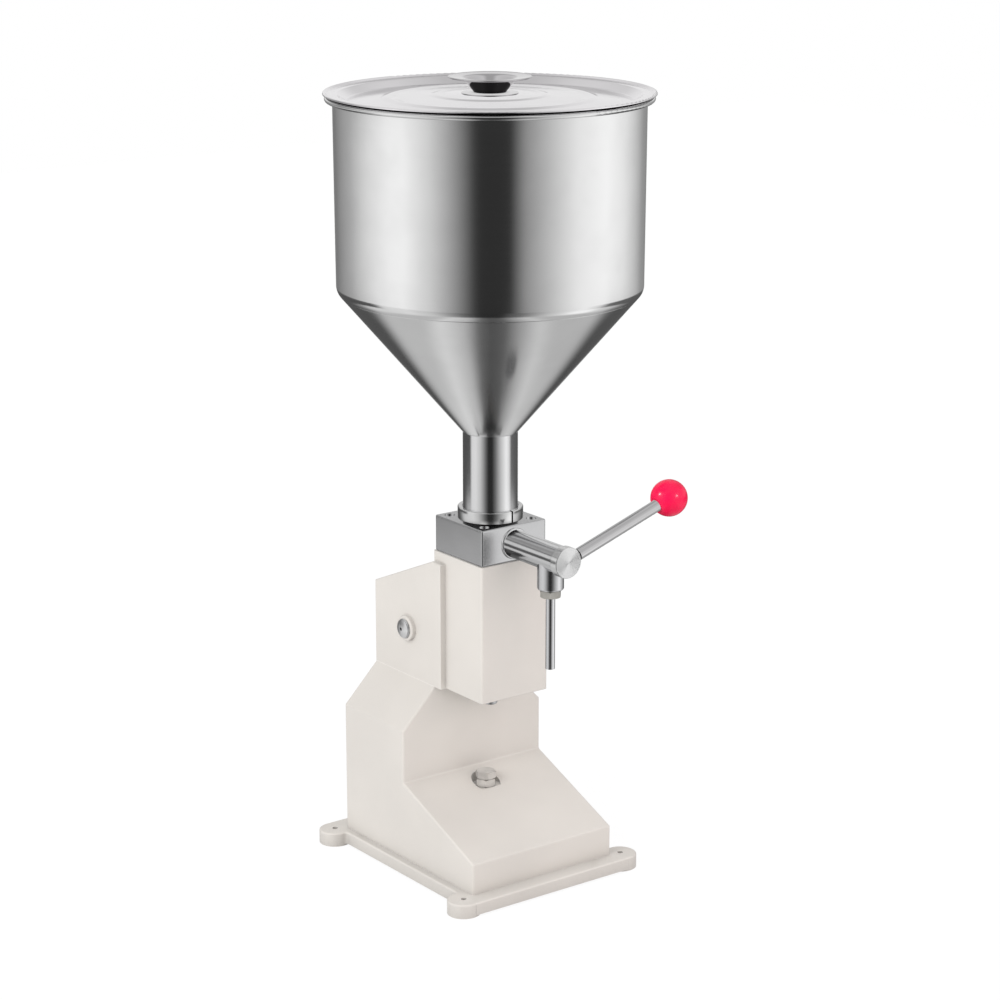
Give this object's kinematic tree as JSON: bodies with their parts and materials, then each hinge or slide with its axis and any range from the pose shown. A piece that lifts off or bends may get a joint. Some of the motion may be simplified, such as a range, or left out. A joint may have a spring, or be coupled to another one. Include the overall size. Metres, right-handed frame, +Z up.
{
  "type": "piston paste filling machine",
  "caption": "Benchtop hand-operated piston filler: covered steel hopper on a valve block with a discharge arm, ball-ended lever and nozzle, on a painted column and sloped foot.",
  "frame": {"origin": "centre of the four foot holes, at the floor", "axes": "+Z up, -Y towards the discharge arm and nozzle, +X to the right for someone facing the nozzle"},
  "size_m": [0.2762, 0.2762, 0.6946],
  "materials": {
    "cream_paint": "smooth satin enamel on cast and welded steel",
    "hopper_steel": "bright satin stainless sheet",
    "lid_steel": "bright polished stainless sheet",
    "polished_block": "machined and polished stainless block",
    "polished_tube": "polished stainless bar and tube",
    "turned_steel": "faced on a lathe, fine circular marks",
    "machined_steel": "plain machined stainless",
    "nickel_steel": "dull nickel-plated steel",
    "zinc_steel": "bright zinc-plated steel",
    "dark_steel": "black oxide steel",
    "cast_iron": "plain cast iron",
    "bronze": "sintered bronze bush",
    "seal_rubber": "black nitrile rubber",
    "pink_ball": "glossy pinkish red moulded knob"
  },
  "bodies": {
    "frame": {"base_plate": "cream_paint", "base_screws": "zinc_steel", "foot_housing": "cream_paint", "linkage_box": "cream_paint", "column": "cream_paint", "column_foot_plate": "cream_paint", "rod_bush": "bronze", "head_plate": "machined_steel", "valve_block": "polished_block", "block_screws": "dark_steel", "cylinder_gasket": "seal_rubber", "cylinder_barrel": "machined_steel", "axle_bushes": "dark_steel", "discharge_arm": "polished_tube", "spout_socket": "polished_tube", "spout_nut": "nickel_steel", "nozzle_tube": "polished_tube", "nozzle_seal": "seal_rubber", "neck_seal": "seal_rubber"},
    "rocker": {"rocker_arm": "cast_iron", "rocker_lock_pin": "machined_steel", "cross_axle": "machined_steel", "axle_spacers": "machined_steel", "axle_washers": "zinc_steel", "axle_end_screws": "zinc_steel"},
    "piston_assembly": {"piston": "machined_steel", "piston_seals": "seal_rubber", "piston_rod": "machined_steel", "piston_nut": "zinc_steel", "rod_pin": "machined_steel", "rod_pin_clips": "dark_steel"},
    "valve": {"valve_spindle": "machined_steel", "spindle_seals": "seal_rubber", "end_cap": "turned_steel", "lever_rod": "polished_tube", "lever_ball": "pink_ball"},
    "hopper": {"hopper_wall": "hopper_steel", "hopper_cone": "hopper_steel", "hopper_neck": "hopper_steel"},
    "lid": {"hopper_lid": "lid_steel", "lid_knob": "lid_steel", "knob_screw": "zinc_steel", "knob_nut": "zinc_steel"},
    "collar": {"neck_collar": "polished_tube"},
    "stop_screw": {"stop_bolt": "nickel_steel"},
    "stop_lock": {"lock_nut": "nickel_steel"}
  },
  "joints": [
    {"name": "rocker_swing", "type": "hinge", "parent": "frame", "child": "rocker", "pos_m": [0, 0.044, 0.2086], "axis": [1, 0, 0], "range_deg": [0, 33.34]},
    {"name": "piston_stroke", "type": "slide", "parent": "frame", "child": "piston_assembly", "axis": [0, 0, -1], "range_m": [0, 0.04]},
    {"name": "valve_turn", "type": "hinge", "parent": "frame", "child": "valve", "pos_m": [0, -0.127, 0.302], "axis": [0, -1, 0], "range_deg": [0, 90]},
    {"name": "hopper_lift", "type": "slide", "parent": "frame", "child": "hopper", "axis": [0, 0, 1], "range_m": [0, 0.12]},
    {"name": "lid_lift", "type": "slide", "parent": "hopper", "child": "lid", "axis": [0, 0, 1], "range_m": [0, 0.12]},
    {"name": "collar_turn", "type": "hinge", "parent": "frame", "child": "collar", "pos_m": [0, -0.022, 0.323], "axis": [0, 0, 1], "continuous": true},
    {"name": "stop_screw_travel", "type": "slide", "parent": "frame", "child": "stop_screw", "axis": [0, 0, 1], "range_m": [0, 0.02]},
    {"name": "lock_nut_turn", "type": "hinge", "parent": "frame", "child": "stop_lock", "pos_m": [0, -0.015, 0.0738], "axis": [0, 0, 1], "continuous": true}
  ],
  "couplings": [
    {"joint": "piston_stroke", "follows": "rocker_swing", "m_per_rad": 0.0687}
  ]
}
